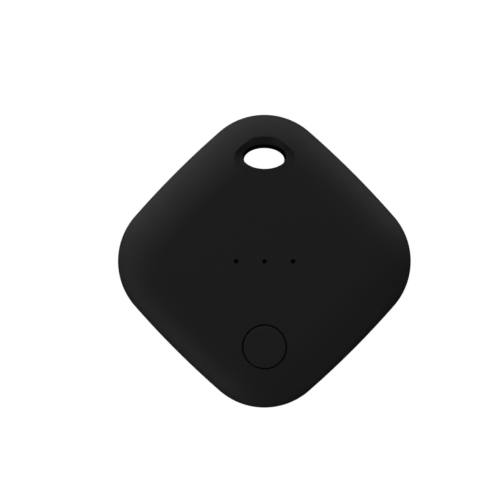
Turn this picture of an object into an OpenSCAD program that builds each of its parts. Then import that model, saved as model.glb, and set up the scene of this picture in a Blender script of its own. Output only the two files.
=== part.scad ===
// Bluetooth tracker tag: a rounded square worn on one corner, with an eyelet at the top tip.
// It lies on its rear face: +Z is the front face's normal, +Y points to the eyelet tip, and the
// origin is the middle of the rear face. All sizes are in millimetres.

/* [Outline] */
// Width across the flat sides
across_flats = 39.1; // [39.0:0.1:39.8]
// Radius of the four rounded corners
corner_r = 10.6; // [10.3:0.1:10.8]
// Radius of the slightly bulged sides
side_r = 140; // [130:5:160]

/* [Thickness] */
// Overall thickness, rear face to front face
thickness = 9.2; // [9.2:0.1:9.6]
// Height of the seam between the two shells
seam_z = 4.4; // [4.4:0.1:4.5]
// How far in from the edge the front face starts to fall away
front_shoulder = 7.4; // [7.0:0.1:7.8]
// How far in from the edge the rear face starts to rise
rear_shoulder = 5.0; // [4.6:0.1:5.4]
// Wall thickness of both shells
wall = 1.2; // [1.1:0.05:1.25]

/* [Eyelet] */
// Distance of the eyelet's centre from the tag's centre
eyelet_y = 16.05; // [15.95:0.05:16.1]
// Width of the eyelet hole
eyelet_w = 6.4; // [6.2:0.1:6.7]
// Height of the eyelet hole
eyelet_h = 3.75; // [3.65:0.05:3.9]
// Width of the scoop around the eyelet
scoop_w = 9.7; // [9.5:0.1:9.9]
// Height of the scoop around the eyelet
scoop_h = 6.1; // [6.0:0.1:6.2]
// Wall left around the eyelet inside the shells
eyelet_wall = 1.1; // [1.0:0.05:1.2]

/* [Sound holes] */
// Diameter of each pinhole
pinhole_d = 0.66; // [0.5:0.02:0.8]
// Distance between pinholes
pinhole_pitch = 4.35; // [4.2:0.05:4.4]

/* [Button] */
// Distance of the button below the tag's centre
button_y = 13.1; // [13.0:0.05:13.15]
// Radius of the button cap
button_r = 3.25; // [3.0:0.05:3.25]
// Gap around the button cap
button_gap = 0.19; // [0.14:0.01:0.2]
// How far the button travels
button_travel = 0.25; // [0.2:0.01:0.25]

/* [Coin cell] */
// Diameter of the coin cell
cell_d = 20; // [20:20]
// Thickness of the coin cell
cell_t = 3.2; // [3.2:3.2]
// Distance of the cell's centre below the tag's centre
cell_y = 1.5; // [1.4:0.1:1.6]

/* [Circuit board] */
// Thickness of the circuit board
board_t = 0.8; // [0.8:0.8]
// Height of the board's rear face
board_z = 5.0; // [5.0:5.0]
// Gap kept between the board and the seam outline
board_inset = 2.1; // [2.05:0.05:2.4]

/* [Hidden] */
$fn = 48;

// ---- outline: four corner arcs joined by four shallow side arcs, all tangent ----
half_w = across_flats/2;
side_k = side_r - half_w;                 // how far a side arc's centre lies behind the middle
corner_c = (sqrt(4*pow(side_r - corner_r, 2) - 2*side_k*side_k) - sqrt(2)*side_k)/2;
tip_r = corner_c + corner_r;
beta = atan2(side_k/sqrt(2), corner_c + side_k/sqrt(2));   // half angle of a corner arc
n_corner = 14;
n_side = 6;

// each sample is [centre x, centre y, arc radius, direction]
samples = [for (q = [0:3]) each concat(
    [for (i = [0:n_corner-1]) [corner_c*cos(90*q), corner_c*sin(90*q), corner_r,
                               90*q - beta + 2*beta*i/n_corner]],
    [for (j = [0:n_side-1]) [-side_k*cos(90*q + 45), -side_k*sin(90*q + 45), side_r,
                             90*q + beta + (90 - 2*beta)*j/n_side]])];
n_ring = len(samples);
function ring2(d) = [for (s = samples) [s[0] + (s[2] - d)*cos(s[3]), s[1] + (s[2] - d)*sin(s[3])]];
function ring3(d, z) = [for (p = ring2(d)) [p[0], p[1], z]];

// distance of a point from the outline, measured inward
function inset_of(x, y) =
    let (u = max(abs(x), abs(y)), v = min(abs(x), abs(y)), a = atan2(v, u - corner_c))
    (u > corner_c && a <= beta) ? corner_r - norm([u - corner_c, v])
                                : side_r - norm([u + side_k/sqrt(2), v + side_k/sqrt(2)]);

front_h = thickness - seam_z;
// height of the front surface at a distance inward from the outline
function front_z(d) = d >= front_shoulder ? thickness
    : seam_z + front_h*sqrt(1 - pow(1 - d/front_shoulder, 2));

// profiles are lists of [inset, height]
n_out = 13;
n_in = 9;
front_outer = [for (i = [0:n_out]) let (t = 90*i/n_out)
    [front_shoulder*(1 - cos(t)), seam_z + front_h*sin(t)]];
in_w = front_shoulder - 0.9;
in_h = front_h - wall;
lip_in = 0.75;                             // the front rim's outer lip is this thick
lip_h = 0.9;
lip_t = asin(lip_h/in_h);
front_inner = concat([[lip_in, seam_z], [lip_in, seam_z + lip_h]],
    [for (i = [0:n_in]) let (t = lip_t + (90 - lip_t)*i/n_in)
     [wall + 0.1 + in_w*(1 - cos(t)), seam_z + in_h*sin(t)]]);
ceiling = seam_z + in_h;

rear_floor = wall - 0.1;
rear_outer = [for (i = [0:n_in]) let (t = 90 - 90*i/n_in)
    [rear_shoulder*(1 - cos(t)), seam_z*(1 - sin(t))]];
tongue_gap = 0.1;
tongue_t = 0.6;
tongue_in = lip_in + tongue_gap + tongue_t;
rear_inner = [for (i = [0:n_in]) let (t = 90 - 90*i/n_in)
    [tongue_in + (rear_shoulder - 0.9)*(1 - cos(t)), seam_z - (seam_z - rear_floor)*sin(t)]];
// from the middle of the rear face, up the outside, over the tongue and down the inside
rear_profile = concat(rear_outer,
    [[lip_in + tongue_gap, seam_z], [lip_in + tongue_gap, seam_z + lip_h - 0.1],
     [tongue_in, seam_z + lip_h - 0.1]],
    [for (i = [n_in:-1:0]) rear_inner[i]]);
// from the middle of the front face's outside, down to the rim and up the inside
front_profile = concat([for (i = [n_out:-1:0]) front_outer[i]], front_inner);

// a shell: rings of the outline swept along a profile, closed by a flat face at each end
module ring_shell(profile, flip = false) {
    m = len(profile);
    pts = [for (p = profile) each ring3(p[0], p[1])];
    walls = [for (k = [0:m-2]) for (i = [0:n_ring-1]) let (j = (i + 1) % n_ring)
        [k*n_ring + i, (k+1)*n_ring + i, (k+1)*n_ring + j, k*n_ring + j]];
    first = [for (i = [0:n_ring-1]) i];
    last = [for (i = [n_ring-1:-1:0]) (m-1)*n_ring + i];
    all_faces = concat(walls, [first], [last]);
    polyhedron(points = pts, faces = flip
        ? [for (f = all_faces) [for (i = [len(f)-1:-1:0]) f[i]]] : all_faces, convexity = 6);
}

function ellipse(a, b, n = 64) = [for (i = [0:n-1]) [a*cos(360*i/n), b*sin(360*i/n)]];
module eyelet_prism(grow, z0, z1)
    translate([0, eyelet_y, z0]) linear_extrude(z1 - z0)
        polygon(ellipse(eyelet_w/2 + grow, eyelet_h/2 + grow));

// the scoop: a flared cut, flush with the face on its lower side and deepest under the tip
scoop_depth = 1.2;
module scoop_cut() {
    n = 48;
    a0 = eyelet_w/2 - 0.1;
    b0 = eyelet_h/2 - 0.1;
    y0 = eyelet_y;
    low = [for (i = [0:n-1]) let (x = a0*cos(360*i/n), y = y0 + b0*sin(360*i/n))
        [x, y, front_z(inset_of(x, y)) + 0.05 - scoop_depth*pow((1 + sin(360*i/n))/2, 1.4)]];
    // the rim has a flattened top, straight sloping shoulders and rounded lower corners
    mid = [for (i = [0:n-1]) let (c = cos(360*i/n), s = sin(360*i/n),
                                  k = s >= 0 ? pow(pow(abs(c), 14) + pow(s, 14) + pow(0.885*abs(c) + 0.68*s, 14), -1/14)
                                             : 0.9882*pow(pow(abs(c), 4.5) + pow(-s, 4.5), -1/4.5),
                                  x = scoop_w/2*c*k,
                                  y = y0 + 0.1 + scoop_h/2*s*k)
        [x, y, front_z(inset_of(x, y)) + 0.03]];
    top = [for (p = mid) [p[0], p[1], thickness + 2]];
    deep = [for (p = low) [0.6*p[0], y0 + 0.6*(p[1] - y0), seam_z + 1]];
    pts = concat(deep, low, mid, top);
    polyhedron(points = pts, convexity = 4, faces = concat(
        [[for (i = [0:n-1]) i]], [[for (i = [n-1:-1:0]) 3*n + i]],
        [for (k = [0:2]) for (i = [0:n-1]) let (j = (i + 1) % n) each
            [[k*n + i, (k+1)*n + i, (k+1)*n + j], [k*n + i, (k+1)*n + j, k*n + j]]]));
}

// places its children at both screw positions
screw_x = 14.6;
module at_screws() for (s = [-1, 1]) translate([s*screw_x, 0, 0]) children();

module tube(r1, r0, z0, z1) translate([0, 0, z0]) difference() {
    cylinder(r = r1, h = z1 - z0);
    translate([0, 0, -1]) cylinder(r = r0, h = z1 - z0 + 2);
}

board_top = board_z + board_t;

module front_shell() {
    color([0.06, 0.06, 0.065]) difference() {
        union() {
            ring_shell(front_profile, flip = true);
            eyelet_prism(eyelet_wall, seam_z + 0.02, ceiling + 0.3);
            at_screws() translate([0, 0, board_top + 0.02])
                cylinder(r = 1.3, h = ceiling + 0.3 - board_top);
            tube(8.3, 7.7, ceiling - 0.6, ceiling + 0.3);
        }
        eyelet_prism(0, seam_z - 1, thickness + 1);
        scoop_cut();
        for (s = [-1, 0, 1]) translate([s*pinhole_pitch, 0, ceiling - 1])
            cylinder(d = pinhole_d, h = 4, $fn = 24);
        translate([0, -button_y, ceiling - 2]) cylinder(r = button_r + button_gap, h = 5);
        translate([0, -button_y, ceiling - 1.5]) cylinder(r = 4.4, h = 1.5);
        at_screws() translate([0, 0, board_top - 1]) cylinder(r = 0.72, h = 2.8);
    }
}

module rear_cover() {
    color([0.06, 0.06, 0.065]) difference() {
        union() {
            ring_shell(rear_profile);
            eyelet_prism(eyelet_wall, 0.3, seam_z);
            // cradle around the coin cell, open where the side contact stands
            translate([0, -cell_y, 0]) difference() {
                tube(cell_d/2 + 1.1, cell_d/2 + 0.3, rear_floor - 0.3, 4.0);
                translate([-13, -2.4, rear_floor]) cube([4, 4.8, 4]);
                translate([9, -2.4, rear_floor]) cube([4, 4.8, 4]);
            }
        }
        eyelet_prism(0, -1, seam_z + 2);
        // notch for a coin's edge, just under the seam at the bottom tip
        translate([-3.5, -tip_r - 1, seam_z - 0.9]) cube([7, 1.75, 1.5]);
    }
}

module button_cap() {
    color([0.06, 0.06, 0.065]) translate([0, -button_y, 0]) {
        rotate_extrude() polygon([[0, 7.45], [1.2, 7.45], [1.2, 7.58], [4.1, 7.58],
            [4.1, ceiling - 0.02], [button_r, ceiling - 0.02], [button_r, thickness - 0.1],
            [button_r - 0.1, thickness], [0, thickness]]);
    }
}

module at_switch() translate([0, -button_y, 0]) children();
switch_top = 7.0;
well_z = 6.2;

module switch_body() {
    color([0.12, 0.12, 0.12]) at_switch() difference() {
        translate([-1.95, -1.5, board_top]) cube([3.9, 3.0, switch_top - board_top]);
        translate([0, 0, well_z]) cylinder(r = 1.4, h = 2);
    }
}
module switch_frame() {
    color([0.8, 0.8, 0.78]) at_switch() difference() {
        translate([-1.95, -1.5, switch_top]) cube([3.9, 3.0, 0.15]);
        translate([0, 0, switch_top - 1]) cylinder(r = 0.85, h = 2);
    }
}
dome_h = 0.4;
module switch_dome() {
    // a shallow snap dome: a slice of a sphere's shell
    rr = (1.3*1.3 + dome_h*dome_h)/(2*dome_h);
    a1 = asin(1.3/rr);
    color([0.75, 0.76, 0.78]) at_switch() translate([0, 0, well_z + dome_h - rr])
        rotate_extrude() polygon(concat(
            [for (i = [0:8]) [rr*sin(a1*i/8), rr*cos(a1*i/8)]],
            [for (i = [8:-1:0]) [(rr - 0.07)*sin(a1*0.96*i/8), max((rr - 0.07)*cos(a1*0.96*i/8), rr - dome_h)]]));
}
module switch_plunger() {
    color([0.85, 0.84, 0.8]) at_switch() {
        rotate_extrude() polygon([[0, well_z + dome_h + 0.01], [1.15, well_z + dome_h + 0.01],
            [1.15, 6.95], [0.75, 6.95], [0.75, 7.4], [0.7, 7.45], [0, 7.45]]);
    }
}
module switch_terminals() {
    color([0.8, 0.8, 0.82]) at_switch() for (sx = [-1, 1]) for (sy = [-1, 1])
        translate([sx*2.3 - 0.35, sy*0.95 - 0.3, board_top]) cube([0.7, 0.6, 0.15]);
}

module circuit_board() {
    color([0.05, 0.25, 0.15]) difference() {
        translate([0, 0, board_z]) linear_extrude(board_t) polygon(ring2(board_inset));
        eyelet_prism(eyelet_wall + 0.3, board_z - 1, board_top + 1);
        // the board stops short of the tip, below the eyelet
        translate([-12, eyelet_y - 1.5, board_z - 1]) cube([24, 12, board_t + 2]);
        at_screws() translate([0, 0, board_z - 1]) cylinder(r = 0.85, h = board_t + 2);
    }
}

// a chip: a low block with its corners nipped
module chip(x, y, w, l, h, a = 0) translate([x, y, board_top]) rotate([0, 0, a]) linear_extrude(h)
    polygon([[-w/2 + 0.1, -l/2], [w/2 - 0.1, -l/2], [w/2, -l/2 + 0.1], [w/2, l/2 - 0.1],
             [w/2 - 0.1, l/2], [-w/2 + 0.1, l/2], [-w/2, l/2 - 0.1], [-w/2, -l/2 + 0.1]]);

module radio_chip() { color([0.1, 0.1, 0.1]) chip(-7.2, 8.6, 4.6, 4.6, 0.8); }
module crystals() {
    color([0.75, 0.75, 0.72]) { chip(-11.3, 4.2, 2.0, 1.6, 0.55); chip(-2.6, 10.4, 3.2, 1.5, 0.7); }
}
module chip_antenna() { color([0.9, 0.9, 0.86]) chip(8.6, 10.0, 6.4, 2.0, 1.0, -45); }
module chip_capacitors() {
    color([0.65, 0.5, 0.35]) {
        for (i = [0:3]) chip(-11.4 + 1.5*i, 1.4, 0.6, 1.0, 0.55);
        for (i = [0:2]) chip(2.0 + 1.4*i, 10.6, 0.6, 1.0, 0.55);
        for (i = [0:2]) chip(11.4, -3.4 - 1.5*i, 1.6, 0.8, 0.8);
        chip(-9.6, -9.2, 2.0, 1.25, 1.0);
    }
}
module chip_resistors() {
    color([0.08, 0.08, 0.1]) {
        for (i = [0:3]) chip(9.2 + 1.2*i, 2.6, 0.5, 1.0, 0.35);
        for (i = [0:2]) chip(-6.2 + 1.4*i, -11.0, 0.5, 1.0, 0.35);
        for (i = [0:1]) chip(-5.8, 12.4 - 0.9*i, 1.0, 0.5, 0.35);
    }
}
module driver_inductor() {
    color([0.25, 0.25, 0.26]) translate([8.7, -9.0, board_top]) {
        translate([-1.5, -1.5, 0]) cube([3, 3, 0.25]);
        translate([0, 0, 0.25]) cylinder(r = 1.15, h = 0.55);
        translate([0, 0, 0.8]) cylinder(r = 1.5, h = 0.3);
    }
}
module driver_transistor() {
    color([0.1, 0.1, 0.1]) {
        chip(-11.2, -4.6, 2.9, 1.3, 1.0);
        for (s = [-1, 1]) translate([-11.2 + s*0.95 - 0.2, -5.9, board_top]) cube([0.4, 0.65, 0.2]);
        translate([-11.4, -3.95, board_top]) cube([0.4, 0.65, 0.2]);
    }
}

module sounder_adhesive() { color([0.2, 0.2, 0.2]) tube(7.5, 6.6, ceiling - 0.25, ceiling); }
module sounder_plate() { color([0.8, 0.6, 0.25]) translate([0, 0, ceiling - 0.45]) cylinder(r = 7.5, h = 0.2); }
module sounder_ceramic() { color([0.88, 0.87, 0.84]) translate([0, 0, ceiling - 0.6]) cylinder(r = 5, h = 0.15); }
// a bent strip that stands on the board and presses upwards
module leaf(x, y, a, top) translate([x, y, 0]) rotate([0, 0, a]) rotate([90, 0, 0])
    translate([0, 0, -0.45]) linear_extrude(0.9) polygon([
        [-1.5, board_top], [0.9, board_top], [1.02, board_top + 0.05], [0.2, top - 0.12], [0.75, top - 0.12],
        [1.05, top - 0.35], [1.14, top - 0.28], [0.8, top], [0.1, top], [0.05, top - 0.1],
        [0.82, board_top + 0.12], [-1.5, board_top + 0.12]]);
module sounder_contacts() {
    color([0.83, 0.7, 0.35]) { leaf(-2.0, 2.6, 0, ceiling - 0.61); leaf(5.6, -2.6, 0, ceiling - 0.46); }
}
module acoustic_mesh() {
    color([0.12, 0.12, 0.12]) translate([0, 0, ceiling - 0.15]) linear_extrude(0.15) union() {
        square([8.6, 2.2], center = true);
        for (s = [-1, 1]) translate([s*4.3, 0]) circle(r = 1.1);
    }
}

module board_screws() {
    color([0.75, 0.75, 0.77]) at_screws() difference() {
        rotate_extrude() polygon([[0, board_z - 0.6], [1.05, board_z - 0.6], [1.2, board_z - 0.45],
            [1.2, board_z], [0.7, board_z], [0.7, 7.2], [0.35, 7.5], [0, 7.5]]);
        translate([0, 0, board_z - 1]) rotate([0, 0, 45]) translate([-0.55, -0.1, 0]) cube([1.1, 0.2, 0.7]);
        translate([0, 0, board_z - 1]) rotate([0, 0, -45]) translate([-0.55, -0.1, 0]) cube([1.1, 0.2, 0.7]);
    }
}

cell_z = rear_floor + 0.3;
module positive_contact() {
    // a foot under the board and a sprung leg down the side of the cell
    color([0.83, 0.72, 0.4]) translate([0, -cell_y + 1.5, 0]) rotate([90, 0, 0]) linear_extrude(3.0)
        polygon([[-12.6, board_z], [-12.6, board_z - 0.15], [-10.3, board_z - 0.15],
            [-10.26, 3.2], [-10.14, 2.9], [-10.42, 2.2], [-10.3, 2.15], [-10.03, 2.85],
            [-10.03, 3.0], [-10.12, 3.25], [-10.14, board_z]]);
}
module negative_contact() {
    top = cell_z + cell_t;
    color([0.83, 0.72, 0.4]) translate([0, -cell_y + 1.2, 0]) rotate([90, 0, 0]) linear_extrude(2.4)
        polygon([[-4.5, board_z], [-4.5, board_z - 0.12], [-2.6, board_z - 0.12], [1.2, top + 0.02],
            [2.2, top + 0.02], [3.0, top + 0.2], [2.95, top + 0.28], [2.1, top + 0.13],
            [1.25, top + 0.13], [-2.5, board_z]]);
}

module at_cell() translate([0, -cell_y, cell_z]) children();
module battery_can() {
    r = cell_d/2;
    color([0.78, 0.78, 0.8]) at_cell() rotate_extrude() polygon([[0, 0], [r - 0.3, 0], [r - 0.09, 0.09],
        [r, 0.3], [r, 2.75], [r - 0.15, 2.98], [r - 0.7, 3.05], [r - 0.7, 2.85], [r - 0.35, 2.8],
        [r - 0.3, 2.7], [r - 0.3, 0.35], [r - 0.4, 0.25], [0, 0.25]]);
}
module battery_gasket() {
    r = cell_d/2;
    color([0.2, 0.2, 0.2]) at_cell() rotate_extrude() polygon([[r - 0.31, 0.4], [r - 0.31, 2.7],
        [r - 0.36, 2.78], [r - 0.7, 2.83], [r - 0.7, 2.98], [r - 1.0, 2.98], [r - 1.0, 0.4]]);
}
module battery_cap() {
    r = cell_d/2 - 1.02;
    color([0.74, 0.74, 0.77]) at_cell() rotate_extrude() polygon([[0, cell_t], [r - 0.55, cell_t],
        [r - 0.35, cell_t - 0.1], [r - 0.1, 2.75], [r, 2.6], [r, 0.6], [r - 0.25, 0.6],
        [r - 0.25, 2.6], [r - 0.5, 2.95], [0, 2.95]]);
}
module battery_core() {
    r = cell_d/2 - 1.28;
    color([0.3, 0.3, 0.32]) at_cell() translate([0, 0, 0.26]) cylinder(r = r, h = 2.3);
}
module cell_foam_pad() {
    color([0.16, 0.16, 0.17]) translate([0, -cell_y, rear_floor]) cylinder(r = 5, h = 0.28);
}

front_shell();
rear_cover();
button_cap();
switch_body();
switch_frame();
switch_dome();
switch_plunger();
switch_terminals();
circuit_board();
radio_chip();
crystals();
chip_antenna();
chip_capacitors();
chip_resistors();
driver_inductor();
driver_transistor();
sounder_plate();
sounder_ceramic();
sounder_adhesive();
sounder_contacts();
acoustic_mesh();
board_screws();
positive_contact();
negative_contact();
battery_can();
battery_cap();
battery_gasket();
battery_core();
cell_foam_pad();
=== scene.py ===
"""Bluetooth tracker tag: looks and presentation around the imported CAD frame."""
import math
import bpy, bmesh
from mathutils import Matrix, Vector


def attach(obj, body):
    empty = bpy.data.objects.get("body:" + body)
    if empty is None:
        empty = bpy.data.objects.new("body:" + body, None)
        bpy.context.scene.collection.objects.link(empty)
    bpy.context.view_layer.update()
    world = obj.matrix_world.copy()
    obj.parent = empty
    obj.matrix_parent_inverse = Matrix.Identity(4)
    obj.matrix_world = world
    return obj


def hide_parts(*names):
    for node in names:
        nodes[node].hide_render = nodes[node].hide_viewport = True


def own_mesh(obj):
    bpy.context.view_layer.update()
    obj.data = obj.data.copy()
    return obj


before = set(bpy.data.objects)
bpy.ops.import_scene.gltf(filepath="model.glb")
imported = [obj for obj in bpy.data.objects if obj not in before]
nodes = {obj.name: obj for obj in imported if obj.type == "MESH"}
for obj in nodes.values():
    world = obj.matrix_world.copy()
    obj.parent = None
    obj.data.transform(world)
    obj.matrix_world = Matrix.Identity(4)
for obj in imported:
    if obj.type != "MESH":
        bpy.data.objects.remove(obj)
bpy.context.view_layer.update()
scene = bpy.context.scene
coll = scene.collection
MM = 0.001

# ---------------------------------------------------------------- dimensions (mm), as in the CAD
ACROSS, CORNER_R, SIDE_R = 39.1, 10.6, 140.0
T, SEAM = 9.2, 4.4
W_FRONT, W_REAR, WALL = 7.4, 5.0, 1.2
EY, EW, EH = 16.05, 6.4, 3.75
SCOOP_W, SCOOP_H = 9.7, 6.1
EY_WALL = 1.1
PIN_D, PIN_P = 0.66, 4.35
BY, BR, BGAP = 13.1, 3.25, 0.19
CELL_R, CELL_T, CELL_Y = 10.0, 3.2, 1.5
HALF = ACROSS / 2
K = SIDE_R - HALF
CC = (math.sqrt(4 * (SIDE_R - CORNER_R) ** 2 - 2 * K * K) - math.sqrt(2) * K) / 2
TIP = CC + CORNER_R
BETA = math.degrees(math.atan2(K / math.sqrt(2), CC + K / math.sqrt(2)))
FH = T - SEAM
CEIL = T - WALL
FLOOR = WALL - 0.1
BOARD_Z, BOARD_T = 5.0, 0.8
BOARD_TOP = BOARD_Z + BOARD_T
SCREW_X = 14.6


def cosd(a):
    return math.cos(math.radians(a))


def sind(a):
    return math.sin(math.radians(a))


def samples(nc=40, ns=16):
    out = []
    for q in range(4):
        for i in range(nc):
            out.append((CC * cosd(90 * q), CC * sind(90 * q), CORNER_R, 90 * q - BETA + 2 * BETA * i / nc))
        for j in range(ns):
            out.append((-K * cosd(90 * q + 45), -K * sind(90 * q + 45), SIDE_R,
                        90 * q + BETA + (90 - 2 * BETA) * j / ns))
    return out


def ring(d, z, smp):
    return [((cx + (r - d) * cosd(a)) * MM, (cy + (r - d) * sind(a)) * MM, z * MM) for cx, cy, r, a in smp]


def inset_of(x, y):
    """distance in from the outline, and the outward direction there (mm)"""
    ax, ay = abs(x), abs(y)
    swap = ay > ax
    u, v = (ay, ax) if swap else (ax, ay)
    du, dv = u - CC, v
    if du > 0 and math.degrees(math.atan2(dv, du)) <= BETA:
        n = math.hypot(du, dv)
        d, nu, nv = CORNER_R - n, du / max(n, 1e-9), dv / max(n, 1e-9)
    else:
        pu, pv = u + K / math.sqrt(2), v + K / math.sqrt(2)
        n = math.hypot(pu, pv)
        d, nu, nv = SIDE_R - n, pu / n, pv / n
    nx, ny = (nv, nu) if swap else (nu, nv)
    return d, math.copysign(nx, x), math.copysign(ny, y)


def front_z(d):
    if d >= W_FRONT:
        return T
    return SEAM + FH * math.sqrt(max(0.0, 1 - (1 - d / W_FRONT) ** 2))


# ---------------------------------------------------------------- mesh helpers
def new_obj(name, bm):
    me = bpy.data.meshes.new(name)
    bm.normal_update()
    bm.to_mesh(me)
    bm.free()
    ob = bpy.data.objects.new(name, me)
    coll.objects.link(ob)
    return ob


def add_rings(bm, rings, cap_start=True, cap_end=True):
    vs = [[bm.verts.new(p) for p in r] for r in rings]
    n = len(vs[0])
    for a, b in zip(vs, vs[1:]):
        for i in range(n):
            j = (i + 1) % n
            bm.faces.new((a[i], a[j], b[j], b[i]))
    if cap_start:
        bm.faces.new(vs[0][::-1])
    if cap_end:
        bm.faces.new(vs[-1])
    return vs


def sweep(name, profile, smp):
    bm = bmesh.new()
    add_rings(bm, [ring(d, z, smp) for d, z in profile])
    bmesh.ops.recalc_face_normals(bm, faces=bm.faces)
    return new_obj(name, bm)


def lathe_into(bm, profile, n=96, cx=0.0, cy=0.0):
    """profile: list of (radius, z) in mm, from axis to axis, so the solid is closed"""
    rows = []
    for r, z in profile:
        if r < 1e-6:
            rows.append([bm.verts.new((cx * MM, cy * MM, z * MM))])
        else:
            rows.append([bm.verts.new(((cx + r * math.cos(2 * math.pi * i / n)) * MM,
                                       (cy + r * math.sin(2 * math.pi * i / n)) * MM, z * MM)) for i in range(n)])
    for a, b in zip(rows, rows[1:]):
        for i in range(n):
            j = (i + 1) % n
            if len(a) == 1 and len(b) == 1:
                continue
            if len(a) == 1:
                bm.faces.new((a[0], b[j], b[i]))
            elif len(b) == 1:
                bm.faces.new((a[i], a[j], b[0]))
            else:
                bm.faces.new((a[i], a[j], b[j], b[i]))
    return rows


def lathe(name, profile, n=96, cx=0.0, cy=0.0):
    bm = bmesh.new()
    lathe_into(bm, profile, n, cx, cy)
    bmesh.ops.recalc_face_normals(bm, faces=bm.faces)
    return new_obj(name, bm)


def tube_into(bm, r1, r0, z0, z1, n=96, cx=0.0, cy=0.0):
    rows = [[bm.verts.new(((cx + r * math.cos(2 * math.pi * i / n)) * MM, (cy + r * math.sin(2 * math.pi * i / n)) * MM,
                           z * MM)) for i in range(n)] for r, z in ((r1, z0), (r1, z1), (r0, z1), (r0, z0))]
    for k in range(4):
        a, b = rows[k], rows[(k + 1) % 4]
        for i in range(n):
            j = (i + 1) % n
            bm.faces.new((a[i], a[j], b[j], b[i]))


def box_into(bm, x0, x1, y0, y1, z0, z1):
    v = [bm.verts.new((x * MM, y * MM, z * MM)) for z in (z0, z1) for x, y in ((x0, y0), (x1, y0), (x1, y1), (x0, y1))]
    for f in ((3, 2, 1, 0), (4, 5, 6, 7), (0, 1, 5, 4), (1, 2, 6, 5), (2, 3, 7, 6), (3, 0, 4, 7)):
        bm.faces.new([v[i] for i in f])


def ellipse(a, b, n=96, cx=0.0, cy=0.0):
    return [(cx + a * math.cos(2 * math.pi * i / n), cy + b * math.sin(2 * math.pi * i / n)) for i in range(n)]


def boolean(ob, cutter, op):
    m = ob.modifiers.new("b", "BOOLEAN")
    m.operation = op
    m.solver = "EXACT"
    m.object = cutter
    dg = bpy.context.evaluated_depsgraph_get()
    me = bpy.data.meshes.new_from_object(ob.evaluated_get(dg))
    ob.modifiers.clear()
    old = ob.data
    ob.data = me
    bpy.data.meshes.remove(old)
    bpy.data.objects.remove(cutter)
    return ob


def finish_mesh(ob, angle=32.0, normal_of=None):
    """merge doubles, shade smooth with sharp edges, and true normals where normal_of knows them"""
    me = ob.data
    bm = bmesh.new()
    bm.from_mesh(me)
    bmesh.ops.remove_doubles(bm, verts=bm.verts, dist=2e-7)
    bmesh.ops.dissolve_degenerate(bm, edges=bm.edges, dist=1e-7)
    bmesh.ops.recalc_face_normals(bm, faces=bm.faces)
    for f in bm.faces:
        f.smooth = True
    lim = math.radians(angle)
    for e in bm.edges:
        e.smooth = len(e.link_faces) == 2 and e.calc_face_angle(0.0) < lim
    bm.to_mesh(me)
    bm.free()
    if normal_of is not None:
        out = [(0.0, 0.0, 0.0)] * len(me.loops)
        for p in me.polygons:
            for li in p.loop_indices:
                n = normal_of(me.vertices[me.loops[li].vertex_index].co / MM, p.normal, p.center / MM)
                if n is not None:
                    out[li] = n
        me.normals_split_custom_set(out)
    me.update()


# ---------------------------------------------------------------- material helpers
def mat(name):
    m = bpy.data.materials.new(name)
    m.use_nodes = True
    nt = m.node_tree
    nt.nodes.clear()
    out = nt.nodes.new("ShaderNodeOutputMaterial")
    bsdf = nt.nodes.new("ShaderNodeBsdfPrincipled")
    nt.links.new(bsdf.outputs[0], out.inputs[0])
    co = nt.nodes.new("ShaderNodeTexCoord")
    return m, nt, bsdf, co.outputs["Object"]


def noise(nt, vec, scale, detail=2.0, rough=0.5, dim=None):
    n = nt.nodes.new("ShaderNodeTexNoise")
    n.inputs["Scale"].default_value = scale
    n.inputs["Detail"].default_value = detail
    n.inputs["Roughness"].default_value = rough
    nt.links.new(vec, n.inputs["Vector"])
    return n.outputs["Fac"]


def ramp(nt, fac, stops, linear=True):
    r = nt.nodes.new("ShaderNodeValToRGB")
    r.color_ramp.interpolation = "LINEAR" if linear else "CONSTANT"
    while len(r.color_ramp.elements) < len(stops):
        r.color_ramp.elements.new(0.5)
    for e, (p, c) in zip(r.color_ramp.elements, stops):
        e.position = p
        e.color = (*c, 1) if len(c) == 3 else c
    nt.links.new(fac, r.inputs[0])
    return r.outputs[0]


def maprange(nt, fac, a, b, c, d):
    m = nt.nodes.new("ShaderNodeMapRange")
    for i, v in zip((1, 2, 3, 4), (a, b, c, d)):
        m.inputs[i].default_value = v
    nt.links.new(fac, m.inputs[0])
    return m.outputs[0]


def bump(nt, bsdf, height, strength, dist):
    b = nt.nodes.new("ShaderNodeBump")
    b.inputs["Strength"].default_value = strength
    b.inputs["Distance"].default_value = dist
    nt.links.new(height, b.inputs["Height"])
    nt.links.new(b.outputs[0], bsdf.inputs["Normal"])
    return b


def mix(nt, fac, a, b):
    m = nt.nodes.new("ShaderNodeMix")
    m.data_type = "RGBA"
    nt.links.new(fac, m.inputs[0])
    for sock, v in ((m.inputs[6], a), (m.inputs[7], b)):
        if isinstance(v, tuple):
            sock.default_value = (*v, 1)
        else:
            nt.links.new(v, sock)
    return m.outputs[2]


def plastic(name, c0, c1, r0, r1, grain=9000.0, gb=0.1, spec=0.5):
    m, nt, b, co = mat(name)
    tone = noise(nt, co, 260.0, 3.0)
    nt.links.new(mix(nt, tone, c0, c1), b.inputs["Base Color"])
    fine = noise(nt, co, grain, 2.0, 0.6)
    nt.links.new(maprange(nt, fine, 0.3, 0.7, r0, r1), b.inputs["Roughness"])
    bump(nt, b, fine, gb, 0.00002)
    b.inputs["Specular IOR Level"].default_value = spec
    return m


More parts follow.
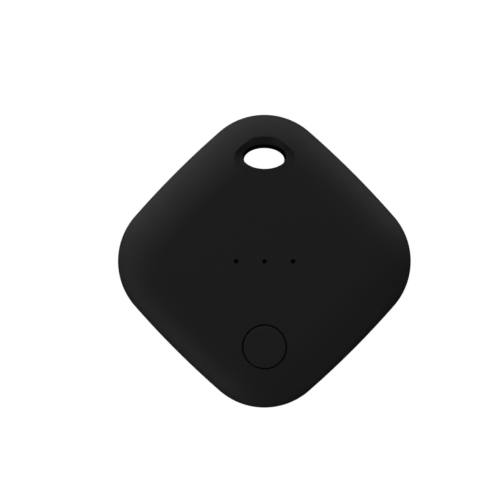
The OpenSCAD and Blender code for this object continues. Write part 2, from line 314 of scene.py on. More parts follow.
def metal(name, c0, c1, r0, r1, stretch=(1, 1, 1), scale=1500.0, radial=False):
    m, nt, b, co = mat(name)
    b.inputs["Metallic"].default_value = 1.0
    vec = co
    if radial:
        le = nt.nodes.new("ShaderNodeVectorMath")
        le.operation = "LENGTH"
        sub = nt.nodes.new("ShaderNodeVectorMath")
        sub.operation = "MULTIPLY_ADD"
        sub.inputs[1].default_value = (1, 1, 0)
        sub.inputs[2].default_value = (0, CELL_Y * MM, 0)
        nt.links.new(co, sub.inputs[0])
        nt.links.new(sub.outputs[0], le.inputs[0])
        cb = nt.nodes.new("ShaderNodeCombineXYZ")
        nt.links.new(le.outputs["Value"], cb.inputs[0])
        vec = cb.outputs[0]
    else:
        mp = nt.nodes.new("ShaderNodeMapping")
        mp.inputs["Scale"].default_value = stretch
        nt.links.new(co, mp.inputs[0])
        vec = mp.outputs[0]
    fine = noise(nt, vec, scale, 3.0, 0.6)
    big = noise(nt, co, 180.0, 2.0)
    nt.links.new(mix(nt, big, c0, c1), b.inputs["Base Color"])
    nt.links.new(maprange(nt, fine, 0.3, 0.7, r0, r1), b.inputs["Roughness"])
    bump(nt, b, fine, 0.12, 0.00001)
    return m


# ---------------------------------------------------------------- materials
M_SHELL = plastic("satin_black_shell", (0.0080, 0.0080, 0.0082), (0.0090, 0.0090, 0.0092), 0.66, 0.72, 9000.0, 0.05)
def scoop_plastic_painted_shade(name, c0, c1, r0, r1, grain, gb):
    """the shell's plastic with painted shade towards the two ends of the scoop: base colour darkened and specular
    weakened there
    """
    m = plastic(name, c0, c1, r0, r1, grain, gb)
    nt = m.node_tree
    b = next(n for n in nt.nodes if n.type == "BSDF_PRINCIPLED")
    co = nt.nodes.new("ShaderNodeTexCoord").outputs["Object"]
    sep = nt.nodes.new("ShaderNodeSeparateXYZ")
    nt.links.new(co, sep.inputs[0])
    ab = nt.nodes.new("ShaderNodeMath")
    ab.operation = "ABSOLUTE"
    nt.links.new(sep.outputs[0], ab.inputs[0])
    # painted shade mask: it rises towards the sides and the top of the scoop, where it darkens the base colour and
    # lowers the specular
    across = maprange(nt, ab.outputs[0], 0.0021, 0.0035, 0.0, 1.0)
    down = maprange(nt, sep.outputs[1], 0.0138, 0.0160, 0.0, 1.0)
    both = nt.nodes.new("ShaderNodeMath")
    both.operation = "MULTIPLY"
    nt.links.new(across, both.inputs[0])
    nt.links.new(down, both.inputs[1])
    nt.links.new(maprange(nt, both.outputs[0], 0.0, 1.0, 0.5, SCOOP_SHADE_SPEC), b.inputs["Specular IOR Level"])
    src = b.inputs["Base Color"].links[0].from_socket
    painted_shade_tint = mix(nt, both.outputs[0], (1, 1, 1), (SCOOP_SHADE_TONE, SCOOP_SHADE_TONE, SCOOP_SHADE_TONE))
    mul = nt.nodes.new("ShaderNodeVectorMath")
    mul.operation = "MULTIPLY"
    nt.links.new(src, mul.inputs[0])
    nt.links.new(painted_shade_tint, mul.inputs[1])
    nt.links.new(mul.outputs[0], b.inputs["Base Color"])
    return m


# strength of the painted shade in the scoop: specular level and base-colour factor
SCOOP_SHADE_SPEC, SCOOP_SHADE_TONE = 0.30, 0.6
M_SCOOP_PAINTED_SHADE = scoop_plastic_painted_shade("satin_black_scoop_painted_shade", (0.0080, 0.0080, 0.0082), (0.0090, 0.0090, 0.0092), 0.66, 0.72, 9000.0, 0.05)
M_BUTTON = plastic("satin_black_button", (0.0080, 0.0080, 0.0082), (0.0090, 0.0090, 0.0092), 0.66, 0.72, 9000.0, 0.05)

# ---------------------------------------------------------------- front shell
SMP = samples(40, 16)
N_OUT = 44
fil = 0.10
prof = []
for i in range(N_OUT, -1, -1):
    t = 90 * i / N_OUT
    prof.append((W_FRONT * (1 - cosd(t)), SEAM + FH * sind(t)))
prof = [p for p in prof if p[1] > SEAM + fil + 0.02]
prof += [(0.0005, SEAM + fil), (0.012, SEAM + 0.05), (0.04, SEAM + 0.014), (0.08, SEAM)]
in_w, in_h = W_FRONT - 0.9, FH - WALL
lip_t = math.degrees(math.asin(0.9 / in_h))
prof += [(0.75, SEAM), (0.75, SEAM + 0.9)]
for i in range(19):
    t = lip_t + (90 - lip_t) * i / 18
    prof.append((WALL + 0.1 + in_w * (1 - cosd(t)), SEAM + in_h * sind(t)))
front = sweep("front_shell_skin", prof, SMP)

# features inside: eyelet tube, screw bosses, rib round the sounder
bm = bmesh.new()
N_E = 128
e_out = ellipse(EW / 2 + EY_WALL, EH / 2 + EY_WALL, N_E, 0, EY)
add_rings(bm, [[(x * MM, y * MM, z * MM) for x, y in e_out] for z in (SEAM + 0.02, CEIL + 0.3)])
for s in (-1, 1):
    lathe_into(bm, [(0, BOARD_TOP + 0.02), (1.2, BOARD_TOP + 0.02), (1.3, BOARD_TOP + 0.12), (1.3, CEIL + 0.3), (0, CEIL + 0.3)], 48, s * SCREW_X, 0)
tube_into(bm, 8.3, 7.7, CEIL - 0.6, CEIL + 0.3, 128)
bmesh.ops.recalc_face_normals(bm, faces=bm.faces)
boolean(front, new_obj("adds", bm), "UNION")

# cuts: eyelet, pinholes, button aperture with its pocket, screw holes
bm = bmesh.new()
add_rings(bm, [[(x * MM, y * MM, z * MM) for x, y in ellipse(EW / 2 + g, EH / 2 + g * 0.3, N_E, 0, EY + g * 0.3)]
               for z, g in ((SEAM - 1, 0.0), (SEAM, 0.0), (SEAM + 2.4, 0.09), (T, 0.19), (T + 1, 0.23))])
for s in (-1, 0, 1):
    r = PIN_D / 2
    lathe_into(bm, [(0, CEIL - 1), (r, CEIL - 1), (r, T - 0.08), (r + 0.018, T - 0.035), (r + 0.06, T + 0.004), (r + 0.06, T + 0.5), (0, T + 0.5)],
               40, s * PIN_P, 0)
r = BR + BGAP
lathe_into(bm, [(0, CEIL - 1.5), (4.4, CEIL - 1.5), (4.4, CEIL), (r, CEIL), (r, T - 0.07), (r + 0.015, T - 0.03), (r + 0.05, T + 0.004), (r + 0.05, T + 0.5), (0, T + 0.5)],
           160, 0, -BY)
for s in (-1, 1):
    lathe_into(bm, [(0, BOARD_TOP - 1), (0.72, BOARD_TOP - 1), (0.72, BOARD_TOP + 1.83), (0, BOARD_TOP + 2.1)], 36, s * SCREW_X, 0)
bmesh.ops.recalc_face_normals(bm, faces=bm.faces)
boolean(front, new_obj("cuts", bm), "DIFFERENCE")

# scoop round the eyelet: flush with the face on its lower side, deepest under the tip
SCOOP_DEPTH = 1.2
NS, KS = 160, 10
a0, b0 = EW / 2 - 0.1, EH / 2 - 0.1
deep, low, mid, rim = [], [], [], []
for i in range(NS):
    t = 2 * math.pi * i / NS
    c, s = abs(math.cos(t)), abs(math.sin(t))
    if math.sin(t) >= 0:
        k = (c ** 14 + s ** 14 + (0.885 * c + 0.68 * s) ** 14) ** (-1 / 14)
    else:
        k = 0.9882 * (c ** 4.5 + s ** 4.5) ** (-1 / 4.5)
    x, y = SCOOP_W / 2 * math.cos(t) * k, EY + 0.1 + SCOOP_H / 2 * math.sin(t) * k
    rim.append((x, y))
    mid.append((x, y, front_z(inset_of(x, y)[0]) + 0.03))
    x, y = a0 * math.cos(t), EY + b0 * math.sin(t)
    low.append((x, y, front_z(inset_of(x, y)[0]) + 0.05 - SCOOP_DEPTH * ((1 + math.sin(t)) / 2) ** 1.4))
    deep.append((0.6 * x, EY + 0.6 * (y - EY), SEAM + 1))
rings = [[(x * MM, y * MM, z * MM) for x, y, z in deep]]
for k in range(KS + 1):
    f = k / KS
    rings.append([tuple((a + (b - a) * f) * MM for a, b in zip(p, q)) for p, q in zip(low, mid)])
rings.append([(x * MM, y * MM, (T + 2) * MM) for x, y, z in mid])
bm = bmesh.new()
add_rings(bm, rings)
bmesh.ops.recalc_face_normals(bm, faces=bm.faces)
boolean(front, new_obj("scoop", bm), "DIFFERENCE")


def in_rim(x, y):
    """true inside the scoop's rim"""
    inside = False
    for (ax, ay), (bx, by) in zip(rim, rim[1:] + rim[:1]):
        if (ay > y) != (by > y) and x < (bx - ax) * (y - ay) / (by - ay) + ax:
            inside = not inside
    return inside


def front_normal(v, fn, fc):
    """true normal of the outer skin, and of flat faces"""
    if abs(fn.z) > 0.99998:
        return fn.copy()
    if fc.z < SEAM + 0.15 or fn.z < -0.02:
        return None
    d, nx, ny = inset_of(fc.x, fc.y)
    if abs(fc.z - front_z(max(d, 0.0))) > 0.035:
        return None
    d, nx, ny = inset_of(v.x, v.y)
    d = max(d, 0.0)
    if d >= W_FRONT:
        n = Vector((0, 0, 1))
    else:
        q = 1 - d / W_FRONT
        s = math.sqrt(max(1 - q * q, 1e-8))
        slope = FH / W_FRONT * q / s
        n = Vector((nx * slope, ny * slope, 1)).normalized()
    return n if n.dot(fn) > 0.9 else None


finish_mesh(front, 32.0, front_normal)
front.data.materials.append(M_SHELL)
front.data.materials.append(M_SCOOP_PAINTED_SHADE)
# faces inside the scoop's rim take the second material, the one with painted shade
for p in front.data.polygons:
    c = p.center / MM
    if p.normal.z > 0.3 and c.z > SEAM + 1.5 and in_rim(c.x, c.y) and c.z < front_z(max(inset_of(c.x, c.y)[0], 0.0)) - 0.012:
        p.material_index = 1
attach(front, "shell")
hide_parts("front_shell")

# ---------------------------------------------------------------- rear cover
tin = 0.75 + 0.1 + 0.6
prof = []
NR = 30
for i in range(NR + 1):
    t = 90 - 90 * i / NR
    prof.append((W_REAR * (1 - cosd(t)), SEAM * (1 - sind(t))))
prof = [p for p in prof if p[1] < SEAM - fil - 0.02]
prof += [(0.0005, SEAM - fil), (0.012, SEAM - 0.05), (0.04, SEAM - 0.014), (0.08, SEAM)]
prof += [(0.85, SEAM), (0.85, SEAM + 0.7), (0.95, SEAM + 0.8), (tin - 0.08, SEAM + 0.8), (tin, SEAM + 0.72)]
for i in range(14, -1, -1):
    t = 90 - 90 * i / 14
    prof.append((tin + (W_REAR - 0.9) * (1 - cosd(t)), SEAM - (SEAM - FLOOR) * sind(t)))
rear = sweep("rear_cover_skin", prof, SMP)
bm = bmesh.new()
add_rings(bm, [[(x * MM, y * MM, z * MM) for x, y in e_out] for z in (0.3, SEAM)])
bmesh.ops.recalc_face_normals(bm, faces=bm.faces)
boolean(rear, new_obj("adds", bm), "UNION")
bm = bmesh.new()
tube_into(bm, CELL_R + 1.1, CELL_R + 0.3, FLOOR - 0.3, 4.0, 128, 0, -CELL_Y)
bmesh.ops.recalc_face_normals(bm, faces=bm.faces)
cradle = new_obj("cradle", bm)
bm = bmesh.new()
box_into(bm, -13, -9, -CELL_Y - 2.4, -CELL_Y + 2.4, FLOOR, FLOOR + 4)
box_into(bm, 9, 13, -CELL_Y - 2.4, -CELL_Y + 2.4, FLOOR, FLOOR + 4)
bmesh.ops.recalc_face_normals(bm, faces=bm.faces)
boolean(cradle, new_obj("c", bm), "DIFFERENCE")
boolean(rear, cradle, "UNION")
bm = bmesh.new()
er = []
for z, g in ((-1.0, 0.14), (-0.004, 0.14), (0.02, 0.09), (0.06, 0.045), (0.14, 0.0), (SEAM + 2, 0.0)):
    er.append([(x * MM, y * MM, z * MM) for x, y in ellipse(EW / 2 + g, EH / 2 + g, N_E, 0, EY)])
add_rings(bm, er)
bmesh.ops.recalc_face_normals(bm, faces=bm.faces)
boolean(rear, new_obj("e", bm), "DIFFERENCE")
bm = bmesh.new()
box_into(bm, -3.5, 3.5, -TIP - 1, -TIP + 0.75, SEAM - 0.9, SEAM + 0.6)
bmesh.ops.recalc_face_normals(bm, faces=bm.faces)
boolean(rear, new_obj("n", bm), "DIFFERENCE")


def rear_normal(v, fn, fc):
    """true normal of the rear cover's outer skin, and of flat faces"""
    if abs(fn.z) > 0.99998:
        return fn.copy()
    if fc.z > SEAM - 0.15 or fn.z > 0.02:
        return None
    d = max(inset_of(fc.x, fc.y)[0], 0.0)
    zf = 0.0 if d >= W_REAR else SEAM * (1 - math.sqrt(max(0.0, 1 - (1 - d / W_REAR) ** 2)))
    if abs(fc.z - zf) > 0.035:
        return None
    d, nx, ny = inset_of(v.x, v.y)
    d = max(d, 0.0)
    if d >= W_REAR:
        n = Vector((0, 0, -1))
    else:
        q = 1 - d / W_REAR
        slope = SEAM / W_REAR * q / math.sqrt(max(1 - q * q, 1e-8))
        n = Vector((nx * slope, ny * slope, -1)).normalized()
    return n if n.dot(fn) > 0.9 else None


finish_mesh(rear, 32.0, rear_normal)
rear.data.materials.append(M_SHELL)
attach(rear, "cover")
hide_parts("rear_cover")

# ---------------------------------------------------------------- button
cap = lathe("button_cap_skin", [(0, 7.45), (1.15, 7.45), (1.2, 7.5), (1.2, 7.58), (4.0, 7.58), (4.1, 7.66), (4.1, CEIL - 0.06), (4.06, CEIL - 0.02),
                                (BR, CEIL - 0.02), (BR, T - 0.08), (BR - 0.012, T - 0.035), (BR - 0.035, T - 0.012), (BR - 0.08, T), (BR - 0.6, T),
                                (0, T)], 160, 0, -BY)
finish_mesh(cap, 30)
cap.data.materials.append(M_BUTTON)
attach(cap, "button")
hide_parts("button_cap")

# ---------------------------------------------------------------- more material helpers
def math_node(nt, op, a, b=None, c=None):
    m = nt.nodes.new("ShaderNodeMath")
    m.operation = op
    for i, v in enumerate((a, b, c)):
        if v is None:
            continue
        if isinstance(v, (int, float)):
            m.inputs[i].default_value = v
        else:
            nt.links.new(v, m.inputs[i])
    return m.outputs[0]


def axes_of(nt, vec):
    s = nt.nodes.new("ShaderNodeSeparateXYZ")
    nt.links.new(vec, s.inputs[0])
    return s.outputs[0], s.outputs[1], s.outputs[2]


def radius_of(nt, vec, cx=0.0, cy=0.0):
    """distance from the vertical line through (cx, cy), in mm"""
    x, y, z = axes_of(nt, vec)
    dx = math_node(nt, "SUBTRACT", math_node(nt, "MULTIPLY", x, 1000.0), cx)
    dy = math_node(nt, "SUBTRACT", math_node(nt, "MULTIPLY", y, 1000.0), cy)
    return math_node(nt, "SQRT", math_node(nt, "ADD", math_node(nt, "MULTIPLY", dx, dx), math_node(nt, "MULTIPLY", dy, dy)))


def steel(name, c0, c1, r0, r1, cx=None, cy=None, scale=60.0, strength=0.25):
    """metal with a circular grain round (cx, cy), or a fine rolled grain along Y"""
    m, nt, b, co = mat(name)
    b.inputs["Metallic"].default_value = 1.0
    if cx is None:
        mp = nt.nodes.new("ShaderNodeMapping")
        mp.inputs["Scale"].default_value = (9000, 500, 9000)
        nt.links.new(co, mp.inputs[0])
        fine = noise(nt, mp.outputs[0], 1.0, 3.0, 0.6)
    else:
        cb = nt.nodes.new("ShaderNodeCombineXYZ")
        nt.links.new(radius_of(nt, co, cx, cy), cb.inputs[0])
        x, y, z = axes_of(nt, co)
        nt.links.new(math_node(nt, "MULTIPLY", z, 1500.0), cb.inputs[1])
        fine = noise(nt, cb.outputs[0], scale / 4, 3.0, 0.6)
    big = noise(nt, co, 260.0, 3.0)
    nt.links.new(mix(nt, big, c0, c1), b.inputs["Base Color"])
    nt.links.new(maprange(nt, fine, 0.3, 0.7, r0, r1), b.inputs["Roughness"])
    bump(nt, b, fine, strength, 0.00001)
    return m


def ceramic(name, c0, c1, r0, r1, grain=6000.0):
    m, nt, b, co = mat(name)
    sp = noise(nt, co, grain, 4.0, 0.7)
    nt.links.new(mix(nt, sp, c0, c1), b.inputs["Base Color"])
    nt.links.new(maprange(nt, sp, 0.3, 0.7, r0, r1), b.inputs["Roughness"])
    bump(nt, b, sp, 0.15, 0.00001)
    return m


M_BLACK = plastic("switch_black", (0.016, 0.016, 0.017), (0.024, 0.024, 0.025), 0.42, 0.6, 12000.0, 0.25)
M_GASKET = plastic("gasket_grey", (0.03, 0.03, 0.032), (0.05, 0.05, 0.052), 0.5, 0.65, 9000.0, 0.3)
M_IVORY = plastic("ivory_plunger", (0.62, 0.57, 0.46), (0.72, 0.68, 0.58), 0.35, 0.5, 9000.0, 0.2)
M_EPOXY = plastic("chip_epoxy", (0.016, 0.016, 0.018), (0.03, 0.03, 0.032), 0.5, 0.7, 15000.0, 0.5)
M_TIN = steel("tinned_steel", (0.60, 0.60, 0.58), (0.74, 0.74, 0.72), 0.28, 0.42)
M_SCREW = steel("screw_steel", (0.48, 0.48, 0.49), (0.62, 0.62, 0.63), 0.25, 0.4, 14.6, 0.0, 80.0)
M_GILT = steel("gilt_bronze", (0.70, 0.51, 0.22), (0.84, 0.66, 0.33), 0.22, 0.36)
M_BRASS = steel("sounder_brass", (0.62, 0.43, 0.16), (0.78, 0.58, 0.27), 0.26, 0.42, 0.0, 0.0, 90.0)
M_COPPER = steel("winding_copper", (0.55, 0.22, 0.10), (0.72, 0.33, 0.16), 0.25, 0.38, 8.7, -9.0, 60.0)
M_CELL = steel("cell_steel", (0.58, 0.58, 0.59), (0.72, 0.72, 0.73), 0.24, 0.38, 0.0, -CELL_Y, 90.0, 0.35)
M_TAN = ceramic("tan_ceramic", (0.30, 0.18, 0.09), (0.46, 0.32, 0.19), 0.45, 0.6)
M_WHITE = ceramic("white_ceramic", (0.70, 0.68, 0.62), (0.86, 0.84, 0.79), 0.45, 0.62)
M_FERRITE = ceramic("ferrite", (0.045, 0.045, 0.05), (0.10, 0.10, 0.105), 0.45, 0.7)
M_CORE = ceramic("cell_core", (0.03, 0.03, 0.034), (0.07, 0.07, 0.075), 0.6, 0.85, 4000.0)

# cell cap: the negative face has a fine stippled texture inside its rim
M_CAP, nt, b, co = mat("cell_cap_steel")
b.inputs["Metallic"].default_value = 1.0
vor = nt.nodes.new("ShaderNodeTexVoronoi")
vor.inputs["Scale"].default_value = 2600.0
nt.links.new(co, vor.inputs["Vector"])
rad = radius_of(nt, co, 0.0, -CELL_Y)
inside = maprange(nt, rad, 7.6, 7.9, 1.0, 0.0)
dots = math_node(nt, "MULTIPLY", maprange(nt, vor.outputs["Distance"], 0.15, 0.45, 1.0, 0.0), inside)
nt.links.new(mix(nt, noise(nt, co, 260.0, 3.0), (0.52, 0.52, 0.53), (0.68, 0.68, 0.69)), b.inputs["Base Color"])
nt.links.new(maprange(nt, dots, 0.0, 1.0, 0.26, 0.42), b.inputs["Roughness"])
bump(nt, b, dots, 0.5, 0.00003)

# sounder ceramic: a silver electrode printed on the middle of the disc
M_PIEZO, nt, b, co = mat("sounder_ceramic")
sp = noise(nt, co, 7000.0, 4.0, 0.7)
el = math_node(nt, "LESS_THAN", radius_of(nt, co), 4.55)
nt.links.new(mix(nt, el, mix(nt, sp, (0.66, 0.64, 0.56), (0.80, 0.78, 0.71)), mix(nt, sp, (0.60, 0.60, 0.58), (0.75, 0.74, 0.71))), b.inputs["Base Color"])
nt.links.new(math_node(nt, "MULTIPLY", el, 0.85), b.inputs["Metallic"])
nt.links.new(maprange(nt, sp, 0.3, 0.7, 0.36, 0.5), b.inputs["Roughness"])
bump(nt, b, sp, 0.15, 0.00001)

# foam: open speckle of cells
M_FOAM, nt, b, co = mat("foam_tape")
vor = nt.nodes.new("ShaderNodeTexVoronoi")
vor.inputs["Scale"].default_value = 5200.0
nt.links.new(co, vor.inputs["Vector"])
nt.links.new(mix(nt, vor.outputs["Distance"], (0.034, 0.034, 0.036), (0.014, 0.014, 0.015)), b.inputs["Base Color"])
nt.links.new(maprange(nt, vor.outputs["Distance"], 0.0, 0.8, 0.95, 0.75), b.inputs["Roughness"])
b.inputs["Specular IOR Level"].default_value = 0.2
bump(nt, b, vor.outputs["Distance"], 0.7, 0.00006)

# acoustic mesh: plain weave, 0.1 mm threads
M_MESH, nt, b, co = mat("mesh_fabric")
x, y, z = axes_of(nt, co)
wx = math_node(nt, "ABSOLUTE", math_node(nt, "SINE", math_node(nt, "MULTIPLY", x, 31416.0)))
wy = math_node(nt, "ABSOLUTE", math_node(nt, "SINE", math_node(nt, "MULTIPLY", y, 31416.0)))
weave = math_node(nt, "MAXIMUM", wx, wy)
nt.links.new(mix(nt, weave, (0.006, 0.006, 0.006), (0.026, 0.026, 0.028)), b.inputs["Base Color"])
nt.links.new(maprange(nt, weave, 0.0, 1.0, 0.9, 0.6), b.inputs["Roughness"])
b.inputs["Specular IOR Level"].default_value = 0.3
bump(nt, b, weave, 0.6, 0.00003)

# circuit board: green mask with raised tracks on both faces, glass laminate on the cut edge
M_BOARD, nt, b, co = mat("board_laminate")
x, y, z = axes_of(nt, co)
ux, uy = math_node(nt, "MULTIPLY", x, 1000.0), math_node(nt, "MULTIPLY", y, 1000.0)


def track(v, pitch, width):
    return math_node(nt, "LESS_THAN", math_node(nt, "FRACT", math_node(nt, "DIVIDE", math_node(nt, "ADD", v, 60.0), pitch)), width)


diag = math_node(nt, "MULTIPLY", math_node(nt, "ADD", ux, uy), 0.7071)
vor = nt.nodes.new("ShaderNodeTexVoronoi")
vor.distance = "MANHATTAN"
vor.inputs["Scale"].default_value = 300.0
nt.links.new(co, vor.inputs["Vector"])
r, g, bl = [o for o in axes_of(nt, vor.outputs["Color"])]
along_x = math_node(nt, "GREATER_THAN", r, 0.62)
along_d = math_node(nt, "LESS_THAN", r, 0.22)
busy = math_node(nt, "GREATER_THAN", g, 0.3)
t1 = math_node(nt, "MULTIPLY", along_x, track(uy, 0.42, 0.4))
t2 = math_node(nt, "MULTIPLY", along_d, track(diag, 0.42, 0.4))
t3 = math_node(nt, "MULTIPLY", math_node(nt, "SUBTRACT", math_node(nt, "SUBTRACT", 1.0, along_x), along_d), track(ux, 0.46, 0.4))
tracks = math_node(nt, "MULTIPLY", math_node(nt, "MAXIMUM", t1, math_node(nt, "MAXIMUM", t2, t3)), busy)
pour = math_node(nt, "LESS_THAN", bl, 0.35)
copper = math_node(nt, "MAXIMUM", tracks, math_node(nt, "MULTIPLY", pour, math_node(nt, "SUBTRACT", 1.0, busy)))
geo = nt.nodes.new("ShaderNodeNewGeometry")
nx_, ny_, nz_ = axes_of(nt, geo.outputs["Normal"])
face = math_node(nt, "GREATER_THAN", math_node(nt, "ABSOLUTE", nz_), 0.5)
mask = mix(nt, copper, (0.006, 0.060, 0.030), (0.016, 0.125, 0.060))
glass = mix(nt, noise(nt, co, 3000.0, 4.0), (0.20, 0.19, 0.10), (0.34, 0.32, 0.19))
nt.links.new(mix(nt, face, glass, mask), b.inputs["Base Color"])
nt.links.new(maprange(nt, noise(nt, co, 1200.0, 3.0), 0.3, 0.7, 0.26, 0.36), b.inputs["Roughness"])
bump(nt, b, math_node(nt, "MULTIPLY", copper, face), 0.35, 0.00002)

# radio chip: epoxy with a round pin-one mark
M_RADIO, nt, b, co = mat("radio_chip_epoxy")
fine = noise(nt, co, 15000.0, 3.0, 0.6)
dot = maprange(nt, radius_of(nt, co, -8.9, 10.3), 0.22, 0.26, 1.0, 0.0)
nt.links.new(mix(nt, dot, mix(nt, fine, (0.016, 0.016, 0.018), (0.028, 0.028, 0.030)), (0.16, 0.16, 0.155)), b.inputs["Base Color"])
nt.links.new(maprange(nt, fine, 0.3, 0.7, 0.45, 0.65), b.inputs["Roughness"])
bump(nt, b, fine, 0.4, 0.00001)

# transistor: epoxy body, tinned legs beyond the body's two long sides
M_SOT, nt, b, co = mat("transistor")
x, y, z = axes_of(nt, co)
leg = math_node(nt, "GREATER_THAN", math_node(nt, "ABSOLUTE", math_node(nt, "ADD", math_node(nt, "MULTIPLY", y, 1000.0), 4.6)), 0.655)
fine = noise(nt, co, 15000.0, 3.0, 0.6)
nt.links.new(mix(nt, leg, mix(nt, fine, (0.016, 0.016, 0.018), (0.028, 0.028, 0.030)), (0.66, 0.66, 0.64)), b.inputs["Base Color"])
nt.links.new(leg, b.inputs["Metallic"])
nt.links.new(maprange(nt, fine, 0.3, 0.7, 0.38, 0.6), b.inputs["Roughness"])
bump(nt, b, fine, 0.3, 0.00001)


def dress(name, material, bevel=0.0, seg=2):
    """a carried-over CAD node: its own material, and fine edges where it is a block"""
    ob = nodes[name]
    ob.data.materials.clear()
    ob.data.materials.append(material)
    for p in ob.data.polygons:
        p.material_index = 0
    md = ob.modifiers.new("joined", "WELD")
    md.merge_threshold = 0.000002
    if bevel:
        md = ob.modifiers.new("edge", "BEVEL")
        md.width = bevel * MM
        md.segments = seg
        md.limit_method = "ANGLE"
        md.angle_limit = math.radians(40)
    return ob


dress("switch_body", M_BLACK, 0.06)
dress("switch_frame", M_TIN, 0.03)
dress("switch_plunger", M_IVORY)
dress("switch_terminals", M_TIN, 0.03)
dress("circuit_board", M_BOARD)
dress("radio_chip", M_RADIO, 0.05)
dress("driver_transistor", M_SOT, 0.05)
dress("driver_inductor", M_FERRITE, 0.05)
dress("sounder_plate", M_BRASS)
dress("sounder_ceramic", M_PIEZO)
dress("sounder_adhesive", M_FOAM)
dress("sounder_contacts", M_GILT)
dress("acoustic_mesh", M_MESH)
dress("board_screws", M_SCREW)
dress("positive_contact", M_GILT)
dress("negative_contact", M_GILT)
dress("battery_gasket", M_GASKET)
dress("battery_core", M_CORE)


def piece(bm, name, material, body, slot, *replaced, angle=30, bevel=0.0):
    bmesh.ops.recalc_face_normals(bm, faces=bm.faces)
    ob = new_obj(name, bm)
    finish_mesh(ob, angle)
    mats = material if isinstance(material, (list, tuple)) else [material]
    for m_ in mats:
        ob.data.materials.append(m_)
    if bevel:
        md = ob.modifiers.new("edge", "BEVEL")
        md.width = bevel * MM
        md.segments = 2
        md.limit_method = "ANGLE"
        md.angle_limit = math.radians(40)
    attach(ob, body)
    if replaced:
        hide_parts(*replaced)
    return ob


def block_into(bm, cx, cy, a, x0, x1, y0, y1, z0, z1, mi=0):
    """a box in a chip's own frame, turned by a degrees about (cx, cy)"""
    ca, sa = cosd(a), sind(a)
    v = [bm.verts.new(((cx + x * ca - y * sa) * MM, (cy + x * sa + y * ca) * MM, z * MM))
         for z in (z0, z1) for x, y in ((x0, y0), (x1, y0), (x1, y1), (x0, y1))]
    for f in ((3, 2, 1, 0), (4, 5, 6, 7), (0, 1, 5, 4), (1, 2, 6, 5), (2, 3, 7, 6), (3, 0, 4, 7)):
        bm.faces.new([v[i] for i in f]).material_index = mi


def chip_into(bm, x, y, w, l, h, end):
    """a two-terminal chip: body between two wrapped end caps along its longer side"""
    a, lo, wi = (0, l, w) if l >= w else (90, w, l)
    e = 0.02
    block_into(bm, x, y, a, -wi / 2 + e, wi / 2 - e, -lo / 2 + end * 0.6, lo / 2 - end * 0.6, BOARD_TOP + e, BOARD_TOP + h - e, 0)
    for s in (-1, 1):
        y0, y1 = sorted((s * lo / 2, s * (lo / 2 - end)))
        block_into(bm, x, y, a, -wi / 2, wi / 2, y0, y1, BOARD_TOP, BOARD_TOP + h, 1)


CAPS = [(-11.4 + 1.5 * i, 1.4, 0.6, 1.0, 0.55) for i in range(4)] + [(2.0 + 1.4 * i, 10.6, 0.6, 1.0, 0.55) for i in range(3)] \
    + [(11.4, -3.4 - 1.5 * i, 1.6, 0.8, 0.8) for i in range(3)] + [(-9.6, -9.2, 2.0, 1.25, 1.0)]
RES = [(9.2 + 1.2 * i, 2.6, 0.5, 1.0, 0.35) for i in range(4)] + [(-6.2 + 1.4 * i, -11.0, 0.5, 1.0, 0.35) for i in range(3)] \
    + [(-5.8, 12.4 - 0.9 * i, 1.0, 0.5, 0.35) for i in range(2)]
bm = bmesh.new()
for c in CAPS:
    chip_into(bm, *c, 0.24 if max(c[2:4]) < 1.2 else 0.38)
piece(bm, "chip_capacitor_bodies", [M_TAN, M_TIN], "shell", "tan_ceramic", "chip_capacitors", bevel=0.025)
bm = bmesh.new()
for c in RES:
    chip_into(bm, *c, 0.22)
piece(bm, "chip_resistor_bodies", [M_EPOXY, M_TIN], "shell", "chip_epoxy", "chip_resistors", bevel=0.02)

# crystals: ceramic tray under a welded metal lid
bm = bmesh.new()
for x, y, w, l, h in ((-11.3, 4.2, 2.0, 1.6, 0.55), (-2.6, 10.4, 3.2, 1.5, 0.7)):
    block_into(bm, x, y, 0, -w / 2, w / 2, -l / 2, l / 2, BOARD_TOP, BOARD_TOP + h - 0.2, 1)
    block_into(bm, x, y, 0, -w / 2 + 0.06, w / 2 - 0.06, -l / 2 + 0.06, l / 2 - 0.06, BOARD_TOP + h - 0.2, BOARD_TOP + h - 0.12, 0)
    block_into(bm, x, y, 0, -w / 2 + 0.16, w / 2 - 0.16, -l / 2 + 0.16, l / 2 - 0.16, BOARD_TOP + h - 0.12, BOARD_TOP + h, 0)
piece(bm, "crystal_cans", [M_TIN, M_WHITE], "shell", "tinned_steel", "crystals", bevel=0.03)

# antenna: ceramic bar with tinned ends and a printed meander
bm = bmesh.new()
AX, AY = 8.6, 10.0
block_into(bm, AX, AY, -45, -3.1, 3.1, -0.98, 0.98, BOARD_TOP + 0.01, BOARD_TOP + 0.985, 0)
for s in (-1, 1):
    x0, x1 = sorted((s * 3.2, s * 2.75))
    block_into(bm, AX, AY, -45, x0, x1, -1.0, 1.0, BOARD_TOP, BOARD_TOP + 1.0, 1)
for i in range(11):
    xx = -2.35 + 0.47 * i
    block_into(bm, AX, AY, -45, xx - 0.07, xx + 0.07, -0.7, 0.7, BOARD_TOP + 0.985, BOARD_TOP + 0.998, 1)
    if i < 10:
        yy = 0.63 if i % 2 == 0 else -0.63
        block_into(bm, AX, AY, -45, xx, xx + 0.47, yy - 0.07, yy + 0.07, BOARD_TOP + 0.985, BOARD_TOP + 0.998, 1)
piece(bm, "antenna_bar", [M_WHITE, M_TIN], "shell", "white_ceramic", "chip_antenna", bevel=0.02)

